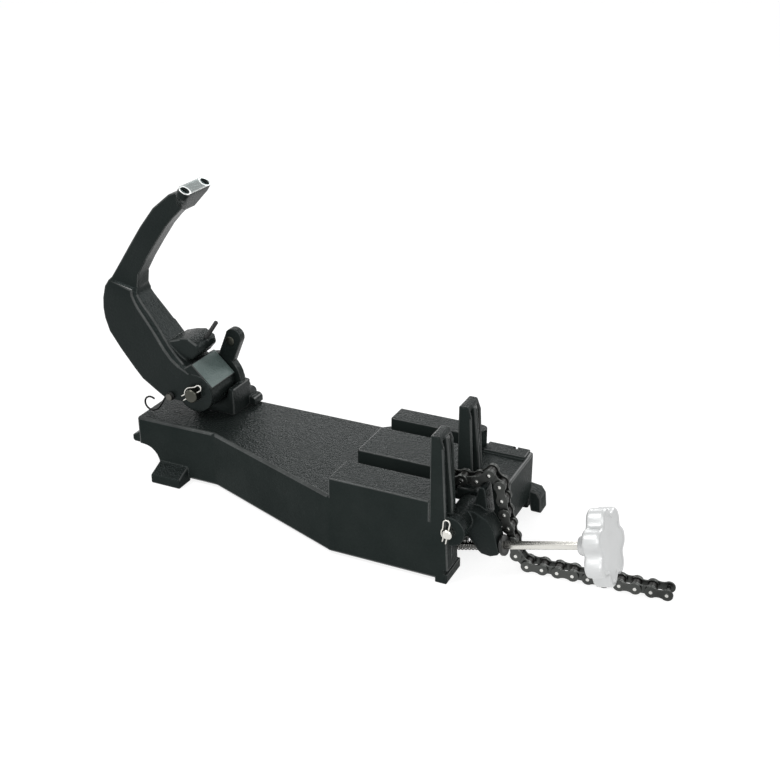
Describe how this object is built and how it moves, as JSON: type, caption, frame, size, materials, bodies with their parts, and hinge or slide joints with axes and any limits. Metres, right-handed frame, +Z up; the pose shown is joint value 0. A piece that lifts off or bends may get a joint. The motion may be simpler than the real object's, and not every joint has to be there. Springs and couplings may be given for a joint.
{
  "type": "band saw stand",
  "caption": "Bench stand for a portable band saw: hollow cast base with a roller-chain vise and hand knob, and a curved arm that swings on a pivot and carries the saw on its top pad.",
  "frame": {"origin": "middle of the whole part, at floor level", "axes": "+X from the rear of the base to the vise end, +Z up, and -Y the side with the pins' clips"},
  "size_m": [0.6908, 0.199, 0.3456],
  "materials": {
    "black_paint": "black textured paint over a casting",
    "plain_steel": "plain machined",
    "black_oxide_steel": "black oxide",
    "bright_plated_steel": "bright plated",
    "oiled_chain_steel": "dark, oiled",
    "cast_aluminium": "as cast, satin"
  },
  "bodies": {
    "base": {"base_casting": "black_paint", "pivot_bracket": "black_paint", "bracket_screw_1": "plain_steel", "bracket_screw_2": "plain_steel", "bracket_screw_3": "plain_steel", "bracket_screw_4": "plain_steel", "pivot_pin": "plain_steel", "pivot_hairpin": "bright_plated_steel", "vise_pin": "bright_plated_steel", "vise_hairpin": "bright_plated_steel", "chain_anchor_pin": "plain_steel", "chain_link_01_inner": "oiled_chain_steel", "chain_link_02_outer": "oiled_chain_steel", "chain_link_03_inner": "oiled_chain_steel", "chain_link_04_outer": "oiled_chain_steel", "chain_link_05_inner": "oiled_chain_steel", "chain_link_06_outer": "oiled_chain_steel", "chain_link_07_inner": "oiled_chain_steel", "chain_link_08_outer": "oiled_chain_steel", "chain_link_09_inner": "oiled_chain_steel", "chain_link_10_outer": "oiled_chain_steel", "chain_link_11_inner": "oiled_chain_steel", "chain_link_12_outer": "oiled_chain_steel", "chain_link_13_inner": "oiled_chain_steel", "chain_link_14_outer": "oiled_chain_steel", "chain_link_15_inner": "oiled_chain_steel", "chain_link_16_outer": "oiled_chain_steel", "chain_link_17_inner": "oiled_chain_steel", "chain_link_18_outer": "oiled_chain_steel"},
    "arm": {"saw_arm": "black_paint", "stop_stud": "plain_steel", "hook_screw": "bright_plated_steel"},
    "hook": {"wire_hook": "plain_steel"},
    "yoke": {"vise_yoke": "black_paint"},
    "nut": {"swivel_nut": "plain_steel", "screw_spring": "bright_plated_steel"},
    "collar": {"thrust_collar": "black_oxide_steel"},
    "screw": {"vise_screw": "bright_plated_steel", "star_knob": "cast_aluminium"},
    "chain_end_1": {"chain_link_19_inner": "oiled_chain_steel"},
    "chain_end_2": {"chain_link_20_outer": "oiled_chain_steel"}
  },
  "joints": [
    {"name": "arm_swing", "type": "hinge", "parent": "base", "child": "arm", "pos_m": [-0.2197, 0.0235, 0.106], "axis": [0, 1, 0], "range_deg": [0, 75]},
    {"name": "hook_swing", "type": "hinge", "parent": "arm", "child": "hook", "pos_m": [-0.2522, -0.0075, 0.097], "axis": [0, 1, 0], "range_deg": [0, 90]},
    {"name": "nut_swivel", "type": "hinge", "parent": "base", "child": "nut", "pos_m": [0.1158, -0.053, 0.0202], "axis": [0, 1, 0], "range_deg": [0, 3.48]},
    {"name": "screw_feed", "type": "slide", "parent": "nut", "child": "collar", "axis": [-0.9678, 0, -0.2515], "range_m": [0, 0.00388], "deforming": ["screw_spring"]},
    {"name": "screw_turn", "type": "hinge", "parent": "collar", "child": "screw", "pos_m": [0.1739, -0.053, 0.0353], "axis": [-0.9678, 0, -0.2515], "range_deg": [0, 990]},
    {"name": "yoke_swing", "type": "hinge", "parent": "base", "child": "yoke", "pos_m": [0.1318, -0.053, 0.0615], "axis": [0, 1, 0], "range_deg": [0, 6.07]},
    {"name": "chain_end_lift", "type": "hinge", "parent": "base", "child": "chain_end_1", "pos_m": [0.30673, -0.02226, 0.0067], "axis": [0.0719, -0.9974, 0], "range_deg": [0, 45]},
    {"name": "chain_tip_lift", "type": "hinge", "parent": "chain_end_1", "child": "chain_end_2", "pos_m": [0.32256, -0.02112, 0.0067], "axis": [0.0719, -0.9974, 0], "range_deg": [0, 45]}
  ],
  "couplings": [
    {"joint": "screw_feed", "follows": "screw_turn", "m_per_rad": 0.0002246},
    {"joint": "nut_swivel", "follows": "screw_turn", "ratio": 0.0035051},
    {"joint": "yoke_swing", "follows": "screw_turn", "ratio": 0.0061111}
  ]
}
